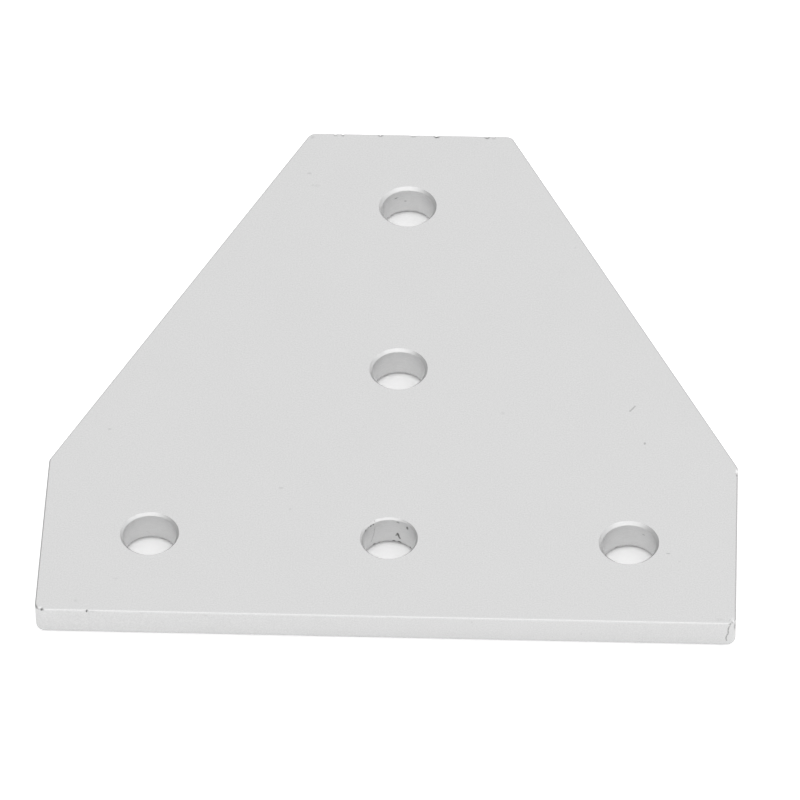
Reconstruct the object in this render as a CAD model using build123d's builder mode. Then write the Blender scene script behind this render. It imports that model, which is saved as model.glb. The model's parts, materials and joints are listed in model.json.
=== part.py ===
"""Flat T-shaped joining plate for 40 mm slotted aluminium framing.

One piece of plate, cut to a T whose stem widens down to the crossbar, with five holes for M8 bolts:
three along the crossbar, and two more up the stem. The bolts go through into nuts in the profiles' slots.

Frame: the underside lies on XY with +Z up through the plate. The origin is the middle of the outline,
which is also the axis of the hole in the middle of the stem. The crossbar runs along X at the -Y side,
and the stem runs towards +Y.
"""
import os

from build123d import *

# The framing that the plate joins
profile_grid = 40.0      # width of one profile, so the pitch of its slots and of the holes
outline_inset = 2.0      # how far the plate stops short of the profiles' outer faces

# The plate
plate_thickness = 5.5
end_width = 35.0         # straight edge at each end of the crossbar and at the end of the stem
corner_radius = 1.5
top_edge_radius = 0.25   # the tumbled edge round the face that takes the bolt heads
base_edge_radius = 0.9   # the edge that blanking drew round, under the face that seats

# The bolt holes
bolt_clearance_diameter = 9.0   # M8, medium fit
hole_chamfer = 0.5
hole_foot_break = 0.1    # the foot of each hole is only just deburred

# Worked out from the above: three grid squares across and three up, less the inset all round
half_span = 1.5 * profile_grid - outline_inset
half_end = end_width / 2
flank_start_y = end_width - half_span

hole_places = [(column * profile_grid, -profile_grid) for column in (-1, 0, 1)]
hole_places += [(0, row * profile_grid) for row in (0, 1)]


with BuildPart() as joining_plate:
    # The outline: square ends, and one straight flank on each side from the crossbar up to the stem
    with BuildSketch(Plane.XY) as outline:
        with BuildLine():
            Polyline(
                (-half_span, -half_span),
                (half_span, -half_span),
                (half_span, flank_start_y),
                (half_end, half_span),
                (-half_end, half_span),
                (-half_span, flank_start_y),
                close=True,
            )
        make_face()
        fillet(outline.vertices(), radius=corner_radius)
    extrude(amount=plate_thickness)

    # The five through holes, opened with a chamfer on the face that takes the bolt heads
    with Locations(*[(x, y, plate_thickness) for x, y in hole_places]):
        Hole(radius=bolt_clearance_diameter / 2)
    top_face = joining_plate.faces().sort_by(Axis.Z)[-1]
    chamfer([rim.edge() for rim in top_face.inner_wires()], length=hole_chamfer)

    # The outer edge is tumbled round on top, and drawn round underneath where the plate was blanked out
    top_face = joining_plate.faces().sort_by(Axis.Z)[-1]
    fillet(top_face.outer_wire().edges(), radius=top_edge_radius)
    base_face = joining_plate.faces().sort_by(Axis.Z)[0]
    fillet(base_face.outer_wire().edges(), radius=base_edge_radius)
    base_face = joining_plate.faces().sort_by(Axis.Z)[0]
    fillet([rim.edge() for rim in base_face.inner_wires()], radius=hole_foot_break)

joining_plate.part.label = "joining_plate"
os.makedirs("parts", exist_ok=True)
export_step(joining_plate.part, "parts/joining_plate.step")
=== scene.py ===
"""Dresses the joining plate: its tumbled faces, cut holes and wear, and a studio stage to see it on."""
import json
import math

import bmesh
import bpy
from bpy.props import FloatProperty, FloatVectorProperty, IntProperty, PointerProperty
from bpy.types import Operator, Panel, PropertyGroup
from mathutils import Matrix, Vector, noise


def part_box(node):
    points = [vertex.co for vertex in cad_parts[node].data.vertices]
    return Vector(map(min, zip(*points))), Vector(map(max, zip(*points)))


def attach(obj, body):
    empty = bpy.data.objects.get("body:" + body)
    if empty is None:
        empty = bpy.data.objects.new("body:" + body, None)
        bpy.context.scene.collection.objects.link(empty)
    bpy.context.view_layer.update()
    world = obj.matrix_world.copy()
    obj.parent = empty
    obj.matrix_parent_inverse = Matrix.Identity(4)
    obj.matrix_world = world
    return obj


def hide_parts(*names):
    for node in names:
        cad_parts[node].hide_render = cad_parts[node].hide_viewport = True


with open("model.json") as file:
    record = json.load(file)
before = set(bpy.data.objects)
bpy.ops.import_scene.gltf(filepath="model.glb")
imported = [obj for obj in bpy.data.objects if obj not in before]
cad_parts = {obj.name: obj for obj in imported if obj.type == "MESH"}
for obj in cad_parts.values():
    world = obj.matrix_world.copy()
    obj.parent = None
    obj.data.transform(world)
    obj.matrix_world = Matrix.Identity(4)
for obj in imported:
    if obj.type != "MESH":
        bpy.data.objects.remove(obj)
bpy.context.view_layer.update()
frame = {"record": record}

plate_low, plate_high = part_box("joining_plate")
holes = {m["name"]: m for m in frame["record"]["mounts"] if m["kind"] == "bore"}

bl_info = {
    "name": "Extrusion Joining Plate",
    "version": (1, 0, 0),
    "blender": (4, 5, 0),
    "location": "3D View > Sidebar > Joining Plate",
    "description": "Builds a worn T-shaped joining plate for 40 mm framing, and a stage to see it on",
    "category": "Add Mesh",
}

MM = 0.001
UP = Vector((0, 0, 1))


# ---------------------------------------------------------------------------------------------------
# Sizes and finishes that a user would change
# ---------------------------------------------------------------------------------------------------

def length(name, description, default_mm):
    return FloatProperty(name=name, description=description, default=default_mm * MM, min=0.0,
                         unit="LENGTH", subtype="DISTANCE", precision=5)


def colour(name, description, default):
    return FloatVectorProperty(name=name, description=description, default=default, size=4,
                               min=0.0, max=1.0, subtype="COLOR")


def factor(name, description, default):
    return FloatProperty(name=name, description=description, default=default, min=0.0, max=1.0,
                         subtype="FACTOR")


class PlateSizes(PropertyGroup):
    end_width: length("End width", "Straight edge at each end of the crossbar and of the stem", 35.0)
    corner_radius: length("Corner radius", "Rounding of the outline's corners", 1.5)
    top_round: length("Top edge", "Radius of the tumbled edge round the top face", 0.25)
    base_round: length("Base edge", "Radius of the rounded edge round the base", 0.9)
    hole_break: length("Hole foot", "Radius of the broken edge at the foot of each hole", 0.1)
    hole_chamfer: length("Hole chamfer", "Width of the chamfer at the top of each hole", 0.5)
    bolt_pitch: length("Bolt pitch", "Spacing of the holes, across and along", 40.0)
    outline_step: length("Outline step", "Longest edge along the outline's mesh", 0.25)
    hole_segments: IntProperty(name="Hole segments", description="Edges round each hole", default=192,
                               min=24)


class PlateFinish(PropertyGroup):
    face_colour: colour("Tumbled face", "Colour of the faces and edges", (0.70, 0.70, 0.70, 1.0))
    cut_colour: colour("Cut metal", "Colour of the hole walls and chamfers", (0.77, 0.77, 0.77, 1.0))
    # Also the colour of the painted shade along the foot of each hole's wall.
    dirt_and_shade_colour: colour("Dirt", "Colour in the nicks, scores and burrs", (0.12, 0.12, 0.12, 1.0))
    bare_colour: colour("Bare metal", "Colour of freshly knocked metal", (0.95, 0.95, 0.95, 1.0))
    face_roughness: factor("Face roughness", "Roughness of the tumbled faces", 0.52)
    cut_roughness: factor("Cut roughness", "Roughness of the hole walls and chamfers", 0.42)
    grain_size: length("Grain size", "Size of the tumbled grain", 0.24)
    grain_contrast: factor("Grain contrast", "How far the grain lightens and darkens the metal", 0.26)
    tool_mark_size: length("Tool marks", "Spacing of the drill's rings and the countersink's chatter", 0.16)
    bump_depth: length("Bump depth", "Height that a full step of the surface's bump stands for", 0.02)
    # This roughness also goes under the painted shade along the foot of each hole's wall.
    dirt_and_shade_roughness: factor("Dirt roughness", "Roughness that full dirt adds to the metal", 0.3)
    rim_polish: factor("Rim polish", "Roughness that tumbling takes off the top edge", 0.12)
    # A painted highlight: lightens the colour of the top edge where it does not face the sides.
    rim_painted_highlight: factor("Rim brightness", "How far tumbling lightens the top edge", 0.05)
    # Painted shade: darkens the colour of the top edge where it faces the sides.
    side_rim_shade: factor("Side rim shade", "How far the top edge darkens along the sides", 0.28)


class StageLook(PropertyGroup):
    floor_colour: colour("Floor", "Colour of the floor", (0.93, 0.93, 0.93, 1.0))
    floor_lift: factor("Floor lift", "White added to the open floor, for the camera and reflections", 0.45)
    hole_lift: factor("Hole lift", "White added to the floor in the holes", 0.18)
    floor_in_metal: factor("Floor in metal", "Share of the lift that the metal's reflections see", 0.41)
    floor_gap: length("Floor gap", "Height at which the plate lies above the floor", 0.3)
    crevice_reach: length("Crevice reach", "Depth to which the lift fades beside the holes' walls", 0.8)
    camera_azimuth: FloatProperty(name="Camera azimuth", description="Turn round the plate",
                                  default=math.radians(3.101), subtype="ANGLE", unit="ROTATION")
    camera_elevation: FloatProperty(name="Camera elevation", description="Height above the horizon",
                                    default=math.radians(45.129), subtype="ANGLE", unit="ROTATION")
    camera_roll: FloatProperty(name="Camera roll", description="Turn about the line of sight",
                               default=math.radians(-1.138), subtype="ANGLE", unit="ROTATION")
    camera_distance: length("Camera distance", "From the camera to what it aims at", 1338.8)
    camera_aim_x: length("Aim across", "Where the line of sight ends, in X", 0.28)
    camera_aim_y: FloatProperty(name="Aim along", description="Where the line of sight ends, in Y",
                                default=-2.54 * MM, subtype="DISTANCE", unit="LENGTH", precision=5)
    camera_aim_z: length("Aim height", "Where the line of sight ends, above the base", 0.5)
    camera_lens: FloatProperty(name="Lens", description="Focal length", default=353.3, min=1.0,
                               unit="CAMERA")


class JoiningPlateSettings(PropertyGroup):
    sizes: PointerProperty(type=PlateSizes)
    finish: PointerProperty(type=PlateFinish)
    stage: PointerProperty(type=StageLook)


# ---------------------------------------------------------------------------------------------------
# Shader maths
# ---------------------------------------------------------------------------------------------------

class Wire:
    """One output socket; arithmetic on it adds Math nodes to its tree."""

    def __init__(self, shader, socket):
        self.shader = shader
        self.socket = socket

    def maths(self, operation, *values):
        return self.shader.add("ShaderNodeMath", {"operation": operation}, dict(enumerate(values)))

    def __add__(self, other):
        return self.maths("ADD", self, other)

    def __sub__(self, other):
        return self.maths("SUBTRACT", self, other)

    def __rsub__(self, other):
        return self.maths("SUBTRACT", other, self)

    def __mul__(self, other):
        return self.maths("MULTIPLY", self, other)

    def __truediv__(self, other):
        return self.maths("DIVIDE", self, other)

    __radd__ = __add__
    __rmul__ = __mul__

    def at_least(self, other):
        return self.maths("MAXIMUM", self, other)

    def at_most(self, other):
        return self.maths("MINIMUM", self, other)

    def shifted(self, vector):
        return self.shader.add("ShaderNodeVectorMath", {"operation": "ADD"}, {0: self, 1: vector})

    def stretched(self, vector):
        return self.shader.add("ShaderNodeVectorMath", {"operation": "MULTIPLY"}, {0: self, 1: vector})

    def reach(self):
        return self.shader.add("ShaderNodeVectorMath", {"operation": "LENGTH"}, {0: self}, output="Value")


class Shader:
    """A material's or world's node tree, built one node at a time."""

    def __init__(self, holder):
        holder.use_nodes = True
        self.tree = holder.node_tree
        self.tree.nodes.clear()

    def add(self, kind, settings=None, sockets=None, output=0):
        """Adds a node, makes its settings, then fills its sockets with values or wires."""
        node = self.tree.nodes.new(kind)
        for name, value in (settings or {}).items():
            setattr(node, name, value)
        self.fill(node, sockets or {})
        return Wire(self, node.outputs[output]) if node.outputs else None

    def fill(self, node, sockets):
        for name, value in sockets.items():
            if isinstance(value, Wire):
                self.tree.links.new(value.socket, node.inputs[name])
            else:
                node.inputs[name].default_value = value

    def position(self):
        return self.add("ShaderNodeTexCoord", output="Object")

    def noise(self, vector, size, detail=2.0, roughness=0.5, distortion=0.0):
        """Noise with features of about the given size in metres."""
        return self.add("ShaderNodeTexNoise", {}, {
            "Vector": vector, "Scale": 1.0 / size, "Detail": detail, "Roughness": roughness,
            "Distortion": distortion})

    def jittered(self, vector, size, amount):
        """Moves each point a little, so that whatever is drawn from it has a ragged edge."""
        push = self.add("ShaderNodeTexNoise", {}, {"Vector": vector, "Scale": 1.0 / size}, output="Color")
        return vector.shifted(push.shifted((-0.5, -0.5, -0.5)).stretched((amount, amount, amount)))

    def blot(self, place, middle, reach, strength):
        """A soft spot, from its strength in the middle to nothing at its reach; millimetres."""
        away = place.shifted([-m * MM for m in middle]).stretched([1 / (r * MM) for r in reach])
        return self.spread(away.reach(), 1.0, 0.25, 0.0, strength)

    def score(self, place, start, end, width, strength):
        """A scored line from start to end; millimetres."""
        start, end = Vector(start) * MM, Vector(end) * MM
        along = end - start
        rest = place.shifted(-start)
        part = self.add("ShaderNodeVectorMath", {"operation": "DOT_PRODUCT"}, {
            0: rest, 1: along / along.length_squared}, output="Value").at_least(0.0).at_most(1.0)
        foot = self.add("ShaderNodeVectorMath", {"operation": "SCALE"}, {0: -along, "Scale": part})
        return self.spread(rest.shifted(foot).reach(), width * MM, 0.25 * width * MM, 0.0, strength)

    def strongest(self, masks):
        masks = list(masks)
        top = masks[0]
        for mask in masks[1:]:
            top = top.at_least(mask)
        return top

    def spread(self, value, low, high, to_low=0.0, to_high=1.0):
        """Maps low..high to to_low..to_high with a smooth step at both ends."""
        return self.add("ShaderNodeMapRange", {"interpolation_type": "SMOOTHSTEP"}, {
            "Value": value, "From Min": low, "From Max": high, "To Min": to_low, "To Max": to_high})

    def blend(self, amount, first, second):
        """Mixes two colours."""
        node = self.tree.nodes.new("ShaderNodeMix")
        node.data_type = "RGBA"
        self.fill(node, {"Factor": amount})
        colours = [s for s in node.inputs if s.type == "RGBA"]
        for socket, value in zip(colours, (first, second)):
            if isinstance(value, Wire):
                self.tree.links.new(value.socket, socket)
            else:
                socket.default_value = value
        return Wire(self, next(s for s in node.outputs if s.type == "RGBA"))


# Wear on the faces: middle, reach and strength, in millimetres
FACE_SPECKS = (
    ((-17.5, 47.9, 5.5), (0.6, 0.35, 0.5), 0.15), ((-16.0, 44.8, 5.5), (0.8, 0.5, 0.5), 0.07),
    ((-16.8, 44.9, 5.5), (0.35, 0.35, 0.5), 0.10), ((42.2, -16.8, 5.5), (0.3, 0.35, 0.5), 0.35),
    ((18.1, -10.2, 5.5), (0.5, 0.5, 0.5), 0.08), ((-18.6, -28.8, 5.5), (0.6, 0.35, 0.5), 0.13),
    ((-16.8, -33.7, 5.5), (0.35, 0.4, 0.5), 0.10), ((-48.3, -15.7, 5.5), (0.4, 0.35, 0.5), 0.14),
    ((46.6, -42.3, 5.5), (0.5, 0.25, 0.5), 0.24), ((48.5, -44.1, 5.5), (0.3, 0.3, 0.5), 0.08),
    ((-45.0, -50.5, 5.5), (0.7, 0.3, 0.5), 0.07), ((-51.3, -55.7, 5.5), (0.5, 0.5, 0.5), 0.07),
    ((29.4, 30.4, 5.5), (0.3, 0.3, 0.5), 0.10), ((-29.6, -58.0, 4.9), (0.35, 0.4, 0.3), 0.10),
    ((14.4, -58.0, 4.6), (0.3, 0.4, 0.3), 0.10), ((32.5, -58.0, 2.4), (0.35, 0.4, 0.35), 0.10),
    ((55.3, -57.2, 5.5), (0.9, 0.5, 0.5), 0.07), ((-48.4, -57.9, 5.3), (0.9, 0.4, 0.25), 0.08),
)
# Nicks round the edges, where dirt has lodged
EDGE_NICKS = (
    ((-13.4, 57.8, 5.5), (0.45, 0.45, 0.5), 0.24), ((-12.1, 57.7, 5.5), (0.35, 0.45, 0.5), 0.24),
    ((-5.5, 57.8, 5.5), (0.5, 0.4, 0.5), 0.40), ((0.3, 57.7, 5.5), (0.8, 0.4, 0.5), 0.18),
    ((4.4, 57.7, 5.5), (0.6, 0.4, 0.5), 0.85), ((13.2, 57.7, 5.5), (0.5, 0.45, 0.5), 0.50),
    ((14.4, 57.6, 5.5), (0.5, 0.4, 0.5), 0.15), ((-49.3, -57.9, 5.3), (0.25, 0.4, 0.35), 0.90),
    ((-56.9, -57.9, 5.4), (0.42, 0.5, 0.32), 0.95), ((-57.7, -57.2, 5.3), (0.3, 0.6, 0.4), 0.35),
    ((57.9, -23.9, 5.3), (0.4, 0.4, 0.3), 0.30), ((57.8, -57.2, 4.0), (0.35, 0.5, 1.0), 0.40),
    ((-17.4, 57.2, 5.4), (0.5, 0.7, 0.3), 0.08),
)
# Bright bruises, where a knock has bared the metal
BRUISES = (
    ((57.6, -57.4, 5.4), (0.3, 0.35, 0.3), 0.9), ((57.1, -57.9, 5.4), (0.3, 0.3, 0.2), 0.8),
    ((57.8, -22.9, 5.4), (0.4, 0.8, 0.25), 0.95),
)
# The crooked scratch down the front right corner, and one short score on the top face
CORNER_SCRATCH = ((57.1, -57.95, 5.4), (56.8, -58.05, 4.5), (56.7, -58.05, 4.0), (56.75, -58.05, 3.3),
                  (56.5, -58.1, 2.6), (56.4, -58.1, 2.1), (56.5, -58.1, 1.6))
TOP_SCORE = ((40.4, -8.0, 5.5), (39.6, -9.2, 5.5))


def metal_surface(material_name, finish, metal_colour, build):
    """A metal whose build function gives its shade, its dirt with any painted shade, bare metal, height and
    roughness.
    """
    material = bpy.data.materials.new(material_name)
    shader = Shader(material)
    shade, dirt_and_shade, bare, height, roughness = build(shader)
    twice = tuple(2 * c for c in metal_colour[:3]) + (1.0,)
    base = shader.blend(shade * 0.5 + 0.5, (0.0, 0.0, 0.0, 1.0), twice)
    if bare is not None:
        base = shader.blend(bare, base, tuple(finish.bare_colour))
    base = shader.blend(dirt_and_shade, base, tuple(finish.dirt_and_shade_colour))
    bump = shader.add("ShaderNodeBump", {}, {"Strength": 0.5, "Distance": finish.bump_depth, "Height": height})
    surface = shader.add("ShaderNodeBsdfPrincipled", {}, {
        "Base Color": base, "Metallic": 1.0, "Roughness": dirt_and_shade * finish.dirt_and_shade_roughness + roughness,
        "Normal": bump})
    shader.add("ShaderNodeOutputMaterial", {}, {"Surface": surface})
    return material


def top_rim(shader, place):
    """Masks for the rounded edge round the top face, and for where that edge looks sideways; they place the
    painted highlight and painted shade on that edge.
    """
    above = shader.add("ShaderNodeSeparateXYZ", {}, {0: place}, output="Z")
    facing = shader.add("ShaderNodeTexCoord", output="Normal")
    upwards = shader.add("ShaderNodeSeparateXYZ", {}, {0: facing}, output="Z")
    across = shader.add("ShaderNodeSeparateXYZ", {}, {0: facing}, output="X")
    high_up = shader.spread(above, plate_high.z - 0.3 * MM, plate_high.z - 0.2 * MM)
    rim = high_up * shader.spread(upwards, 0.9995, 0.97)
    return rim, shader.spread(across.maths("ABSOLUTE", across), 0.06, 0.25)


def tumbled_metal(finish):
    """Bare plate after tumbling: an even, fine grain, with specks, nicks, a scratch or two, and a painted
    highlight and shade on the top edge.
    """
    def build(shader):
        place = shader.position()
        grain = shader.noise(place, finish.grain_size, detail=3.0)
        cloud = shader.noise(place, 9 * MM, detail=3.0)
        shade = (grain - 0.5) * finish.grain_contrast + (cloud - 0.5) * 0.02
        rim, side_rim = top_rim(shader, place)
        # Painted highlight along the top edge, and painted shade where that edge faces the sides.
        shade = shade + rim * (finish.rim_painted_highlight - side_rim * finish.side_rim_shade)
        ragged = shader.jittered(place, 0.3 * MM, 0.3 * MM)
        specks = shader.strongest(shader.blot(ragged, *speck) for speck in FACE_SPECKS)
        nicks = shader.strongest(shader.blot(ragged, *nick) for nick in EDGE_NICKS)
        bare = shader.strongest(shader.blot(ragged, *bruise) for bruise in BRUISES)
        lines = [shader.score(ragged, start, end, width=0.19, strength=0.50)
                 for start, end in zip(CORNER_SCRATCH, CORNER_SCRATCH[1:])]
        lines.append(shader.score(ragged, *TOP_SCORE, width=0.22, strength=0.3))
        dirt_and_shade = shader.strongest([specks, nicks, *lines])
        height = grain * 0.25 - dirt_and_shade * 1.5 - bare
        return shade, dirt_and_shade, bare, height, finish.face_roughness - rim * finish.rim_polish
    return metal_surface("tumbled_metal", finish, finish.face_colour, build)


# Wear in the holes: middle, reach and strength of burrs, crumbs and dashes, in millimetres
HOLE_CRUMBS = (
    ((2.9, -36.6, 4.4), (0.35, 0.35, 0.5), 0.80), ((1.35, -35.7, 4.8), (0.4, 0.3, 0.25), 0.40),
    ((-2.8, -36.4, 5.0), (0.3, 0.3, 0.25), 0.70), ((-3.15, -36.8, 5.0), (0.3, 0.3, 0.25), 0.80),
    ((-3.5, -37.2, 5.0), (0.3, 0.3, 0.2), 0.35), ((-4.0, -37.9, 5.0), (0.25, 0.3, 0.3), 0.75),
    ((-2.7, -36.4, 0.1), (0.55, 0.5, 0.45), 0.75), ((-1.9, -35.9, 0.1), (0.5, 0.4, 0.25), 0.55),
    ((0.6, -35.5, 0.15), (0.5, 0.4, 0.35), 0.85), ((1.5, -35.8, 0.15), (0.55, 0.4, 0.35), 0.90),
    ((3.4, -37.1, 0.2), (0.35, 0.4, 0.4), 0.60), ((-42.0, -35.9, 0.1), (0.5, 0.4, 0.2), 0.30),
    ((37.9, -36.0, 0.1), (0.9, 0.5, 0.3), 0.55), ((42.4, -36.2, 3.5), (0.4, 0.3, 0.2), 0.35),
    ((-2.2, 43.9, 3.65), (0.65, 0.4, 0.16), 0.60), ((-0.6, 44.4, 2.5), (0.35, 0.3, 0.16), 0.55),
    ((-40.6, -35.5, 1.0), (0.5, 0.3, 0.12), 0.12), ((-40.8, -35.5, 1.4), (0.4, 0.3, 0.12), 0.10),
)
# Scores in the junction hole: the long one down its wall, and a crooked one further round
HOLE_SCORES = (
    ((-2.6, -36.0, 5.5), (-2.6, -36.3, 3.6), 0.17, 0.32),
    ((-2.6, -36.3, 3.6), (-2.8, -36.4, 2.4), 0.15, 0.26),
    ((-2.8, -36.4, 2.4), (-3.2, -36.8, 1.2), 0.15, 0.24),
    ((0.95, -35.6, 1.6), (1.2, -35.7, 2.1), 0.17, 0.60),
    ((1.2, -35.7, 2.1), (1.35, -35.7, 1.7), 0.30, 0.85),
    ((1.35, -35.7, 1.7), (1.6, -35.8, 1.1), 0.24, 0.80),
)


def cut_metal(finish):
    """Where the drill and the countersink have cut: fine rings, chatter, burrs, lodged dirt, and painted shade
    along each wall's foot.
    """
    def build(shader):
        place = shader.position()
        pitch = bpy.context.scene.joining_plate.sizes.bolt_pitch
        inside = shader.add("ShaderNodeVectorMath", {"operation": "WRAP"}, {
            0: place, 1: (pitch / 2, pitch / 2, 1.0), 2: (-pitch / 2, -pitch / 2, -1.0)})
        outwards = inside.stretched((1, 1, 0))
        around = shader.add("ShaderNodeVectorMath", {"operation": "NORMALIZE"}, {0: outwards})
        radius = outwards.reach()
        grain = shader.noise(place, finish.grain_size, detail=3.0)
        rings = shader.noise(place.stretched((0.12, 0.12, 1.0)), finish.tool_mark_size, detail=2.0)
        chatter = shader.noise(around.shifted(place.stretched((9.0, 9.0, 0.0))), 0.05, detail=3.0)
        height_above = shader.add("ShaderNodeSeparateXYZ", {}, {0: place}, output="Z")
        bore = holes["junction_hole"]["dims"]["r_mm"] * MM
        on_chamfer = shader.spread(radius, bore, bore + 0.1 * MM)
        shade = ((grain - 0.5) * 0.5 + (rings - 0.5) * 0.5) * finish.grain_contrast
        ragged = shader.jittered(place, 0.25 * MM, 0.25 * MM)
        crumbs = shader.strongest(shader.blot(ragged, *crumb) for crumb in HOLE_CRUMBS)
        scores = shader.strongest(shader.score(ragged, *score) for score in HOLE_SCORES)
        # Painted shade along the foot of each wall, made patchy by noise; it goes in with the dirt.
        foot = shader.spread(height_above, 0.45 * MM, 0.05 * MM, 0.0, 0.30)
        dirt_and_shade = shader.strongest([crumbs, scores, foot * shader.noise(place, 0.8 * MM, detail=2.0) * 1.6])
        height = grain * 0.25 + (rings - 0.5) * (1.0 - on_chamfer) * 0.5 + chatter * on_chamfer - dirt_and_shade
        return shade, dirt_and_shade, None, height, finish.cut_roughness
    return metal_surface("cut_metal", finish, finish.cut_colour, build)


# ---------------------------------------------------------------------------------------------------
# The plate
# ---------------------------------------------------------------------------------------------------

# How far the shears strayed at each corner, across and along, in millimetres
CUT_STRAY = ((0.0, 0.05), (0.0, -0.15), (0.0, 0.95), (0.0, 0.2), (-0.25, 0.2), (0.0, -0.2))


def outline_corners(sizes):
    """The six sharp corners of the outline as it was cut, anticlockwise from above."""
    half_end = sizes.end_width / 2
    flank_start = plate_low.y + sizes.end_width
    drawn = ((plate_low.x, plate_low.y), (plate_high.x, plate_low.y), (plate_high.x, flank_start),
             (half_end, plate_high.y), (-half_end, plate_high.y), (plate_low.x, flank_start))
    return [Vector((x + across * MM, y + along * MM, 0))
            for (x, y), (across, along) in zip(drawn, CUT_STRAY)]


def draw_outline(bm, sizes):
    """Draws the rounded outline as one loop of short edges on the base plane."""
    corners = outline_corners(sizes)
    arcs = []
    for before, corner, after in zip(corners[-1:] + corners[:-1], corners, corners[1:] + corners[:1]):
        arriving = (corner - before).normalized()
        leaving = (after - corner).normalized()
        turn = arriving.angle(leaving)
        start = corner - arriving * sizes.corner_radius * math.tan(turn / 2)
        centre = start + UP.cross(arriving) * sizes.corner_radius
        steps = max(3, round(turn / math.radians(9)))
        first = bmesh.ops.create_vert(bm, co=start)["vert"][0]
        turned = bmesh.ops.spin(bm, geom=[first], cent=centre, axis=UP, angle=turn, steps=steps)
        last = next(g for g in turned["geom_last"] if isinstance(g, bmesh.types.BMVert))
        arcs.append((first, last))
    for (_, leaving), (arriving, _) in zip(arcs, arcs[1:] + arcs[:1]):
        bm.edges.new((leaving, arriving))
    while long := [e for e in bm.edges if e.calc_length() > sizes.outline_step]:
        bmesh.ops.subdivide_edges(bm, edges=long, cuts=1)
    return bmesh.ops.contextual_create(bm, geom=bm.edges[:])["faces"]


# Widths of the rings of small faces that border the two big faces, from the edge inwards, in millimetres
BORDER_RINGS = (0.12, 0.18, 0.25)


def slab(bm, sizes):
    """The plate without its holes: sides, tumbled edges, and open where the two big faces go."""
    base = draw_outline(bm, sizes)
    raised = bmesh.ops.extrude_face_region(bm, geom=base)
    lifted = [g for g in raised["geom"] if isinstance(g, bmesh.types.BMVert)]
    bmesh.ops.translate(bm, verts=lifted, vec=(0, 0, plate_high.z))
    bmesh.ops.recalc_face_normals(bm, faces=bm.faces[:])
    for height, radius, segments in ((plate_high.z, sizes.top_round, 5), (0.0, sizes.base_round, 6)):
        rim = [e for e in bm.edges if all(abs(v.co.z - height) < 1e-7 for v in e.verts)]
        bmesh.ops.bevel(bm, geom=rim, offset=radius, offset_type="OFFSET", segments=segments,
                        profile=0.5, affect="EDGES", material=-1)
    big_faces = [f for f in bm.faces if len(f.verts) > 100]
    for ring in BORDER_RINGS:
        bmesh.ops.inset_region(bm, faces=big_faces, thickness=ring * MM, use_even_offset=True)
    bmesh.ops.delete(bm, geom=big_faces, context="FACES_ONLY")


# How deep each countersink went, as a share of the usual chamfer
CHAMFER_SHARES = {"crossbar_left_hole": 0.86, "junction_hole": 0.64, "crossbar_right_hole": 1.06,
                  "stem_middle_hole": 0.96, "stem_end_hole": 1.04}


def hole_rings(sizes, hole):
    """Radius and height of each ring of a hole's surface, from the top face down to the base."""
    radius = hole["dims"]["r_mm"] * MM
    top = plate_high.z
    width = sizes.hole_chamfer * CHAMFER_SHARES[hole["name"]]
    wall_top = top - width
    wall_foot = sizes.hole_break
    chamfer = [(radius + width * (1 - k / 3), top - width * k / 3) for k in range(4)]
    wall = [(radius, wall_top + (wall_foot - wall_top) * k / 14) for k in range(1, 15)]
    return [(radius + width + 0.4 * MM, top), *chamfer, *wall, (radius + sizes.hole_break, 0.0)]


def bore_holes(bm, sizes):
    """Draws each hole's surface down through the plate, ring by ring."""
    for hole in holes.values():
        centre = Vector((*hole["pos_m"][:2], 0))
        rings = hole_rings(sizes, hole)
        place = Matrix.Translation(centre + UP * rings[0][1])
        mouth = bmesh.ops.create_circle(bm, segments=sizes.hole_segments, radius=rings[0][0], matrix=place)
        edges = list({e for v in mouth["verts"] for e in v.link_edges})
        for (wide, high), (narrow, low) in zip(rings, rings[1:]):
            drawn = bmesh.ops.extrude_edge_only(bm, edges=edges)["geom"]
            edges = [g for g in drawn if isinstance(g, bmesh.types.BMEdge) and g.is_boundary]
            verts = [g for g in drawn if isinstance(g, bmesh.types.BMVert)]
            bmesh.ops.scale(bm, verts=verts, vec=(narrow / wide, narrow / wide, 1),
                            space=Matrix.Translation(-centre))
            bmesh.ops.translate(bm, verts=verts, vec=(0, 0, low - high))


def close_faces(bm):
    """Fills the top face and the base between the outline and the holes."""
    for height in (plate_high.z, 0.0):
        rims = [e for e in bm.edges if e.is_boundary and all(abs(v.co.z - height) < 1e-7 for v in e.verts)]
        bmesh.ops.triangle_fill(bm, use_beauty=True, edges=rims, normal=UP)
    bmesh.ops.remove_doubles(bm, verts=bm.verts[:], dist=1e-7)
    bmesh.ops.recalc_face_normals(bm, faces=bm.faces[:])


def roughen_rims(bm, sizes):
    """Lets each chamfer's outer rim wander a little, as a countersink leaves it."""
    for hole in holes.values():
        centre = Vector((*hole["pos_m"][:2], 0))
        rim = hole["dims"]["r_mm"] * MM + sizes.hole_chamfer * CHAMFER_SHARES[hole["name"]]
        for vert in bm.verts:
            away = Vector((vert.co.x - centre.x, vert.co.y - centre.y, 0))
            if abs(away.length - rim) < 0.02 * MM and vert.co.z > plate_high.z - 0.01 * MM:
                wander = noise.noise(vert.co / (0.9 * MM)) * 0.05 + noise.noise(vert.co / (0.25 * MM)) * 0.02
                vert.co += away.normalized() * wander * MM


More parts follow.
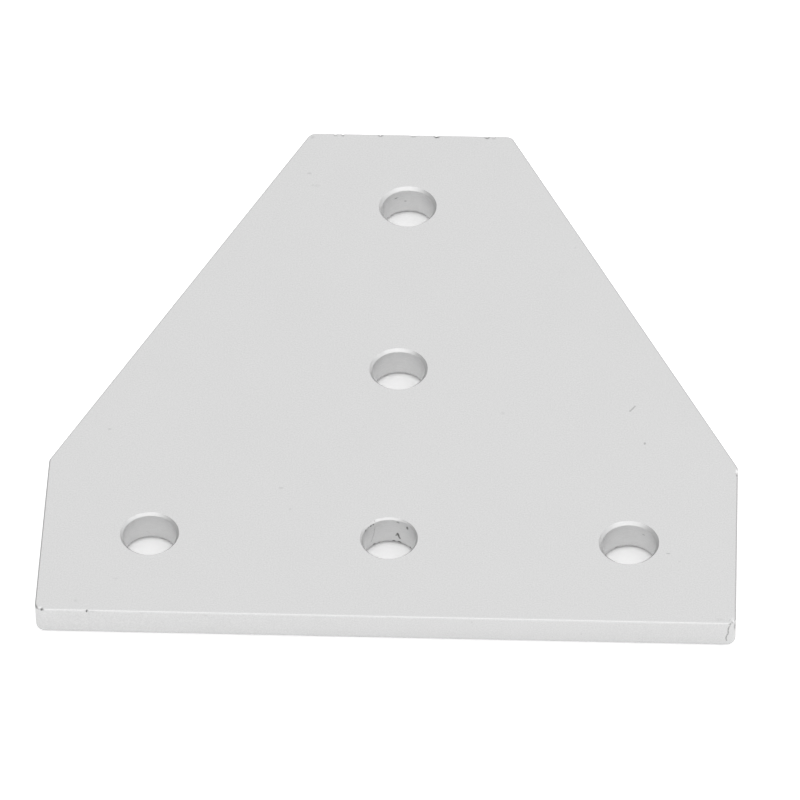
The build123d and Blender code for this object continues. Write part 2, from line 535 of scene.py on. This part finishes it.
# Knocks round the edges: middle, reach and push, in millimetres
DENTS = (
    ((-13.4, 58.0, 5.5), (0.6, 0.5, 0.5), (0.0, -0.10, -0.12)),
    ((-12.1, 58.0, 5.5), (0.5, 0.5, 0.5), (0.0, -0.10, -0.12)),
    ((-5.5, 58.0, 5.5), (0.6, 0.5, 0.5), (0.0, -0.12, -0.14)),
    ((0.3, 58.0, 5.5), (0.9, 0.5, 0.5), (0.0, -0.06, -0.07)),
    ((4.4, 58.0, 5.5), (0.7, 0.6, 0.6), (0.0, -0.18, -0.22)),
    ((13.2, 58.0, 5.5), (0.7, 0.6, 0.6), (0.0, -0.12, -0.16)),
    ((14.4, 58.0, 5.5), (0.5, 0.5, 0.5), (0.0, -0.06, -0.10)),
    ((-49.3, -57.9, 5.4), (0.35, 0.4, 0.35), (0.0, 0.10, -0.10)),
    ((-57.0, -57.8, 5.4), (0.7, 0.6, 0.5), (0.08, 0.15, -0.14)),
    ((57.5, -57.4, 5.4), (0.8, 0.8, 0.6), (-0.12, 0.12, -0.12)),
    ((57.2, -57.7, 4.0), (0.6, 0.6, 1.2), (-0.04, 0.06, 0.0)),
    ((57.9, -23.5, 5.4), (0.5, 0.8, 0.5), (-0.12, 0.0, -0.12)),
    ((-17.5, 57.3, 5.4), (0.7, 0.9, 0.5), (0.08, -0.08, -0.06)),
)


def knock_edges(bm):
    """Pushes the metal in at each knock, with a ragged floor."""
    for middle, reach, push in DENTS:
        middle, push = Vector(middle) * MM, Vector(push) * MM
        for vert in bm.verts:
            away = vert.co - middle
            if abs(away.x) > reach[0] * MM or abs(away.y) > reach[1] * MM:
                continue
            span = math.sqrt(sum((a / (r * MM)) ** 2 for a, r in zip(away, reach)))
            if span < 1.0 and not any(is_wide(face) for face in vert.link_faces):
                ragged = 0.75 + 0.6 * noise.noise(vert.co / (0.2 * MM))
                vert.co += push * (1 - span * span) ** 2 * ragged


def is_cut(face, sizes):
    """Whether a face belongs to a hole's wall or chamfer."""
    middle = face.calc_center_median()
    for hole in holes.values():
        x, y = hole["pos_m"][:2]
        reach = math.hypot(middle.x - x, middle.y - y)
        if reach < hole["dims"]["r_mm"] * MM + 1.1 * sizes.hole_chamfer and abs(face.normal.z) < 0.95:
            return True
    return False


def is_wide(face):
    """Whether a face belongs to the open middle of the top face, which stays flat."""
    return face.normal.z > 0.999 and face.calc_area() > 0.2 * MM ** 2


CREASE_ANGLE = math.radians(30)


def crisp_edges(bm):
    """Smooth shading, with a crease wherever a flat or cut face meets a rounded one."""
    for face in bm.faces:
        face.smooth = True
    for edge in bm.edges:
        if len(edge.link_faces) != 2:
            continue
        tilts = sorted(abs(f.normal.z) for f in edge.link_faces)
        flat_next_to_round = any(t > 0.9999 or t < 0.0001 for t in tilts) and tilts[1] - tilts[0] > 0.01
        wide_border = is_wide(edge.link_faces[0]) != is_wide(edge.link_faces[1])
        steep = edge.calc_face_angle() > CREASE_ANGLE
        edge.smooth = not (flat_next_to_round or wide_border or steep)


def build_plate(settings):
    """The plate as a new object in the scene, with its two metals."""
    bm = bmesh.new()
    slab(bm, settings.sizes)
    bore_holes(bm, settings.sizes)
    close_faces(bm)
    if not all(edge.is_manifold for edge in bm.edges):
        raise RuntimeError("the plate's surface is not closed")
    crisp_edges(bm)
    for face in bm.faces:
        face.material_index = int(is_cut(face, settings.sizes))
    roughen_rims(bm, settings.sizes)
    knock_edges(bm)
    mesh = bpy.data.meshes.new("worn_plate")
    bm.to_mesh(mesh)
    bm.free()
    plate = bpy.data.objects.new("worn_plate", mesh)
    bpy.context.scene.collection.objects.link(plate)
    mesh.materials.append(tumbled_metal(settings.finish))
    mesh.materials.append(cut_metal(settings.finish))
    return plate


class PLATE_OT_worn_plate(Operator):
    """Build the plate with its tumbled edges, cut holes and wear"""

    bl_idname = "mesh.add_worn_plate"
    bl_label = "Worn Plate"

    def execute(self, context):
        plate = build_plate(context.scene.joining_plate)
        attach(plate, "root")
        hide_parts("joining_plate")
        return {"FINISHED"}


# ---------------------------------------------------------------------------------------------------
# The stage
# ---------------------------------------------------------------------------------------------------

HOLE_FLOOR_EDGE = 5.8 * MM   # how far the floor counts as lying in a hole, from the hole's axis


def floor_material(stage):
    """Matt paper, lifted to white for the camera and in the metal's reflections, but not in crevices."""
    material = bpy.data.materials.new("studio_floor")
    shader = Shader(material)
    seen = shader.add("ShaderNodeLightPath", output="Is Camera Ray")
    mirrored = shader.add("ShaderNodeLightPath", output="Is Glossy Ray")
    refracted = shader.add("ShaderNodeLightPath", output="Is Transmission Ray")
    openness = shader.add("ShaderNodeAmbientOcclusion", {"samples": 8}, {"Distance": stage.crevice_reach},
                          output="AO")
    place = shader.position()
    in_holes = shader.strongest(
        shader.spread(place.shifted((-hole["pos_m"][0], -hole["pos_m"][1], 0)).reach(),
                      HOLE_FLOOR_EDGE, HOLE_FLOOR_EDGE - 0.3 * MM)
        for hole in holes.values())
    lift = in_holes * openness * stage.hole_lift + (1.0 - in_holes) * stage.floor_lift
    lift = seen.at_least(mirrored * stage.floor_in_metal).at_least(refracted) * lift
    matt = shader.add("ShaderNodeBsdfDiffuse", {}, {"Color": stage.floor_colour})
    glow = shader.add("ShaderNodeEmission", {}, {"Color": (1, 1, 1, 1), "Strength": lift})
    both = shader.add("ShaderNodeAddShader", {}, {0: matt, 1: glow})
    shader.add("ShaderNodeOutputMaterial", {}, {"Surface": both})
    return material


FLOOR_HALF_WIDTH = 3.0


def add_floor(stage):
    """A wide sheet of paper just under the plate."""
    bm = bmesh.new()
    bmesh.ops.create_grid(bm, x_segments=1, y_segments=1, size=FLOOR_HALF_WIDTH)
    mesh = bpy.data.meshes.new("studio_floor")
    bm.to_mesh(mesh)
    bm.free()
    mesh.materials.append(floor_material(stage))
    floor = bpy.data.objects.new("studio_floor", mesh)
    bpy.context.scene.collection.objects.link(floor)
    floor.location.z = -stage.floor_gap


def sky_direction(azimuth, elevation):
    """The direction at these angles; azimuth 0 is the front, and a quarter turn is the right."""
    level = math.cos(elevation)
    return Vector((math.sin(azimuth) * level, -math.cos(azimuth) * level, math.sin(elevation)))


DARK_SIDE = sky_direction(math.radians(-100), math.radians(10))


def add_softbox(name, azimuth, elevation, distance, size, power):
    """A square softbox that faces the plate; angles in degrees, distance and size in metres, watts."""
    lamp = bpy.data.lights.new(name, "AREA")
    lamp.energy = power
    lamp.size = size
    box = bpy.data.objects.new(name, lamp)
    bpy.context.scene.collection.objects.link(box)
    away = sky_direction(math.radians(azimuth), math.radians(elevation))
    box.location = away * distance
    box.rotation_mode = "QUATERNION"
    box.rotation_quaternion = away.to_track_quat("Z", "Y")


def add_world():
    """White air, dimmer low down, with the dark side of the room at the left."""
    world = bpy.data.worlds.new("studio_air")
    bpy.context.scene.world = world
    shader = Shader(world)
    seen = shader.add("ShaderNodeLightPath", output="Is Camera Ray")
    refracted = shader.add("ShaderNodeLightPath", output="Is Transmission Ray")
    direction = shader.add("ShaderNodeTexCoord", output="Generated")
    towards_dark = shader.add("ShaderNodeVectorMath", {"operation": "DOT_PRODUCT"}, {
        0: direction, 1: DARK_SIDE}, output="Value")
    height = shader.add("ShaderNodeSeparateXYZ", {}, {0: direction}, output="Z")
    skirt = shader.spread(height, 0.0, 1.0, 0.69, 1.225)
    dark_side = shader.spread(towards_dark, 0.5, 0.9, 1.0, 0.5)
    tent = skirt * dark_side
    strength = tent + (1.0 - tent) * seen.at_least(refracted)
    air = shader.add("ShaderNodeBackground", {}, {"Color": (1, 1, 1, 1), "Strength": strength})
    shader.add("ShaderNodeOutputWorld", {}, {"Surface": air})


def add_camera(stage):
    """The camera, aimed at the plate from the front and above."""
    lens = bpy.data.cameras.new("studio_camera")
    lens.lens = stage.camera_lens
    lens.sensor_width = 36.0
    lens.clip_start = 0.01
    lens.clip_end = 20.0
    camera = bpy.data.objects.new("studio_camera", lens)
    bpy.context.scene.collection.objects.link(camera)
    back = sky_direction(stage.camera_azimuth, stage.camera_elevation)
    aim = Vector((stage.camera_aim_x, stage.camera_aim_y, stage.camera_aim_z))
    turn = back.to_track_quat("Z", "Y").to_matrix() @ Matrix.Rotation(stage.camera_roll, 3, "Z")
    camera.matrix_world = Matrix.Translation(aim + back * stage.camera_distance) @ turn.to_4x4()
    bpy.context.scene.camera = camera


class PLATE_OT_stage(Operator):
    """Lay the floor, hang the lights and set up the camera"""

    bl_idname = "scene.add_plate_stage"
    bl_label = "Studio Stage"

    def execute(self, context):
        stage = context.scene.joining_plate.stage
        add_floor(stage)
        add_world()
        add_softbox("key_softbox", azimuth=14, elevation=42, distance=0.9, size=1.4, power=0.845)
        add_camera(stage)
        context.scene.view_settings.view_transform = "Standard"
        return {"FINISHED"}


# ---------------------------------------------------------------------------------------------------
# The panel, and running it all
# ---------------------------------------------------------------------------------------------------

class PLATE_PT_sidebar(Panel):
    """Sizes, finish and build buttons for the joining plate"""

    bl_idname = "PLATE_PT_sidebar"
    bl_label = "Joining Plate"
    bl_space_type = "VIEW_3D"
    bl_region_type = "UI"
    bl_category = "Joining Plate"

    def draw(self, context):
        settings = context.scene.joining_plate
        for group in (settings.sizes, settings.finish, settings.stage):
            box = self.layout.box()
            for name in group.bl_rna.properties.keys():
                if name not in ("rna_type", "name"):
                    box.prop(group, name)
        for operator in OPERATORS:
            self.layout.operator(operator.bl_idname)


OPERATORS = (PLATE_OT_worn_plate, PLATE_OT_stage)
CLASSES = (PlateSizes, PlateFinish, StageLook, JoiningPlateSettings, *OPERATORS, PLATE_PT_sidebar)


def register():
    for cls in CLASSES:
        bpy.utils.register_class(cls)
    bpy.types.Scene.joining_plate = PointerProperty(type=JoiningPlateSettings)


def unregister():
    del bpy.types.Scene.joining_plate
    for cls in reversed(CLASSES):
        bpy.utils.unregister_class(cls)


def main():
    register()
    bpy.ops.mesh.add_worn_plate()
    bpy.ops.scene.add_plate_stage()


if __name__ == "__main__":
    main()
